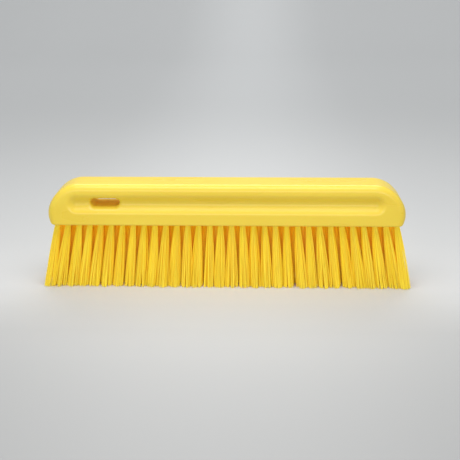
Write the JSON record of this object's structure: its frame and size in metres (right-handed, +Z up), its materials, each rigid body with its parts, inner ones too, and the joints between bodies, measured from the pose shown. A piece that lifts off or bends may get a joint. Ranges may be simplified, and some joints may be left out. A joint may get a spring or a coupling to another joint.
{
  "type": "block brush",
  "caption": "Long block brush: a rounded plastic block with a finger groove along each side, a hanging slot near one end and staggered rows of fanned filament tufts below.",
  "frame": {"origin": "on the plane of the cut filament tips the brush stands on, under the middle of the brush", "axes": "+Z up from the filament tips to the block, +X along the block's length away from the hanging slot, +Y from the front face to the back face"},
  "size_m": [0.317, 0.034, 0.0909],
  "materials": {
    "block_plastic": "satin, moulded, yellow all through",
    "filament": "straight synthetic filaments, slightly translucent yellow, cut flat at the tips",
    "anchor_steel": "flat wire"
  },
  "bodies": {
    "root": {"block": "block_plastic", "tuft_front_01": "filament", "tuft_front_02": "filament", "tuft_front_03": "filament", "tuft_front_04": "filament", "tuft_front_05": "filament", "tuft_front_06": "filament", "tuft_front_07": "filament", "tuft_front_08": "filament", "tuft_front_09": "filament", "tuft_front_10": "filament", "tuft_front_11": "filament", "tuft_front_12": "filament", "tuft_front_13": "filament", "tuft_front_14": "filament", "tuft_front_15": "filament", "tuft_front_16": "filament", "tuft_front_17": "filament", "tuft_front_18": "filament", "tuft_front_19": "filament", "tuft_front_20": "filament", "tuft_front_21": "filament", "tuft_front_22": "filament", "tuft_front_23": "filament", "tuft_front_24": "filament", "tuft_front_25": "filament", "tuft_front_26": "filament", "tuft_front_27": "filament", "tuft_front_28": "filament", "tuft_front_29": "filament", "tuft_front_30": "filament", "tuft_front_31": "filament", "tuft_front_32": "filament", "tufts_back_01_02": "filament", "tufts_back_03_04": "filament", "tufts_back_05_06": "filament", "tufts_back_07_08": "filament", "tufts_back_09_10": "filament", "tufts_back_11_12": "filament", "tufts_back_13_14": "filament", "tufts_back_15_16": "filament", "tufts_back_17_18": "filament", "tufts_back_19_20": "filament", "tufts_back_21_22": "filament", "tufts_back_23_24": "filament", "tufts_back_25_26": "filament", "tufts_back_27_28": "filament", "tufts_back_29_30": "filament", "tufts_back_31_32": "filament", "tufts_middle_01_03": "filament", "tufts_middle_04_06": "filament", "tufts_middle_07_09": "filament", "tufts_middle_10_12": "filament", "tufts_middle_13_15": "filament", "tufts_middle_16_18": "filament", "tufts_middle_19_21": "filament", "tufts_middle_22_24": "filament", "tufts_middle_25_27": "filament", "tufts_middle_28_31": "filament"}
  },
  "joints": []
}
